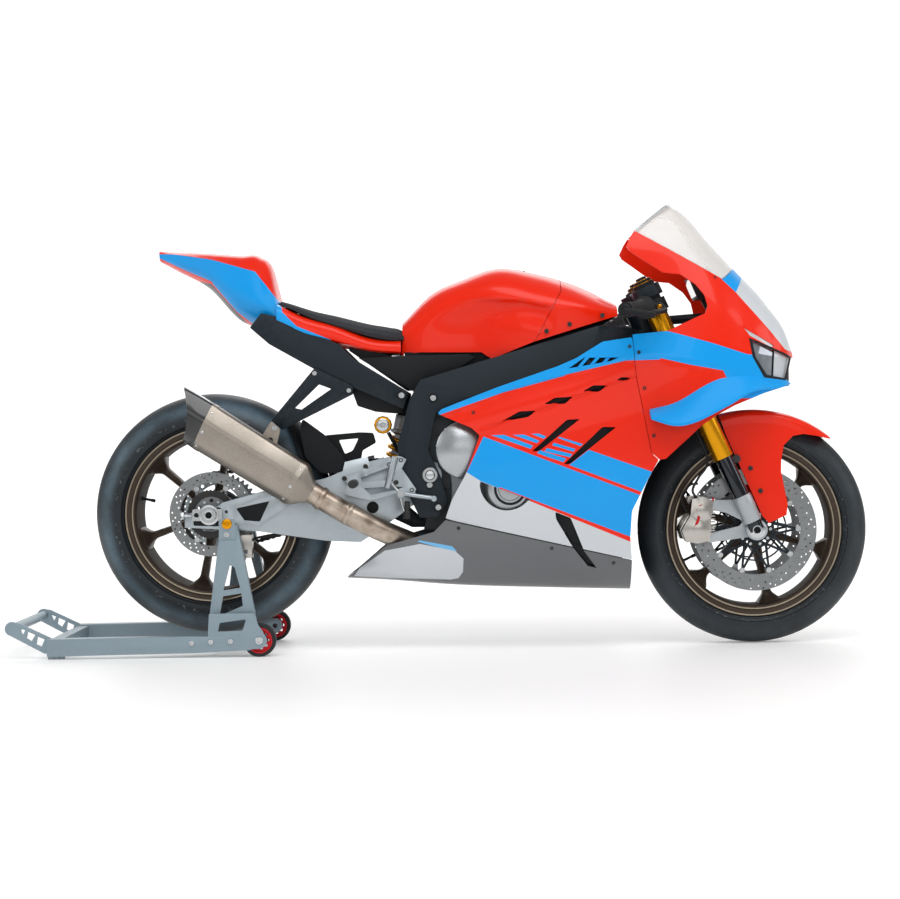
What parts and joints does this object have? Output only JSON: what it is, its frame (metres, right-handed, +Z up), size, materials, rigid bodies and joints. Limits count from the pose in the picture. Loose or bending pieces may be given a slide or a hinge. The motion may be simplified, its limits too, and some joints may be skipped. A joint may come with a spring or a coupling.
{
  "type": "race sport bike on a rear paddock stand",
  "caption": "Faired race sport bike with single seat, winglets and inverted fork, held upright by the rear paddock stand under its swingarm spools.",
  "frame": {"origin": "on the floor, under the middle of the bounding box of bike and stand", "axes": "+X forward along the wheelbase, +Y to the rider's left, +Z up"},
  "size_m": [2.2354, 0.7176, 1.157],
  "materials": {
    "tyre": "smooth slick rubber with a bluish scuffed sheen",
    "wheel_bronze": "dark bronze paint",
    "disc_steel": "ground steel",
    "sprocket_alloy": "anodised",
    "chain_steel": "oiled steel",
    "axle_steel": "turned steel",
    "fork_gold": "gold anodised",
    "fork_chrome": "polished",
    "yoke_alloy": "black anodised",
    "control_black": "matt black",
    "grip_rubber": "moulded rubber",
    "caliper_alloy": "nickel plated",
    "body_red": "gloss paint",
    "body_blue": "gloss paint",
    "body_grey": "metallic grey paint",
    "screen_clear": "clear moulding",
    "lamp_lens": "clear lens",
    "frame_black": "satin black",
    "engine_metal": "cast",
    "engine_cover": "machined",
    "swingarm_silver": "brushed",
    "shock_metal": "anodised",
    "subframe_black": "satin black",
    "seat_foam": "closed-cell foam",
    "radiator_black": "satin",
    "exhaust_titanium": "satin titanium",
    "carbon_black": "dark moulding",
    "stand_silver": "silver paint",
    "roller_black": "solid rubber"
  },
  "bodies": {
    "chassis": {"belly_pan": "body_grey", "chain": "chain_steel", "display": "control_black", "drive_sprocket": "axle_steel", "engine_block": "engine_metal", "engine_covers": "engine_cover", "exhaust_hanger": "subframe_black", "exhaust_pipe": "exhaust_titanium", "fairing_stay": "frame_black", "footrests": "swingarm_silver", "fuel_tank": "body_red", "headlamps": "lamp_lens", "main_frame": "frame_black", "muffler": "exhaust_titanium", "muffler_cap": "carbon_black", "nose_fairing": "body_red", "pivot_shaft": "axle_steel", "radiator": "radiator_black", "rear_axle": "axle_steel", "rear_caliper": "caliper_alloy", "rear_hugger": "carbon_black", "rear_shock": "shock_metal", "seat_base": "body_red", "seat_pad": "seat_foam", "shock_linkage": "frame_black", "side_covers": "control_black", "side_fairing_left": "body_red", "side_fairing_right": "body_red", "stand_frame": "stand_silver", "subframe": "subframe_black", "swingarm": "swingarm_silver", "tail_cowl": "body_red", "tank_front_cover": "body_red", "under_tray": "control_black", "windscreen": "screen_clear", "winglets": "body_blue"},
    "steering": {"clip_ons": "control_black", "fork_lowers": "fork_chrome", "fork_tubes": "fork_gold", "front_axle": "axle_steel", "front_calipers": "caliper_alloy", "front_fender": "body_red", "grips": "grip_rubber", "levers": "control_black", "lower_yoke": "yoke_alloy", "upper_yoke": "yoke_alloy"},
    "front_wheel": {"front_discs": "disc_steel", "front_rim": "wheel_bronze", "front_tyre": "tyre"},
    "rear_wheel": {"rear_disc": "disc_steel", "rear_rim": "wheel_bronze", "rear_sprocket": "sprocket_alloy", "rear_tyre": "tyre"},
    "stand_rollers": {"stand_rollers": "roller_black"}
  },
  "joints": [
    {"name": "steering_head", "type": "hinge", "parent": "chassis", "child": "steering", "pos_m": [0.56033, 0, 0.80933], "axis": [-0.4067, 0, 0.9135], "range_deg": [-22, 22]},
    {"name": "front_wheel_spin", "type": "hinge", "parent": "steering", "child": "front_wheel", "pos_m": [0.81775, 0, 0.3], "axis": [0, 1, 0], "continuous": true},
    {"name": "rear_wheel_spin", "type": "hinge", "parent": "chassis", "child": "rear_wheel", "pos_m": [-0.59625, 0, 0.36], "axis": [0, 1, 0], "continuous": true},
    {"name": "stand_roller_spin", "type": "hinge", "parent": "chassis", "child": "stand_rollers", "pos_m": [-0.46375, 0, 0.042], "axis": [0, 1, 0], "continuous": true}
  ]
}
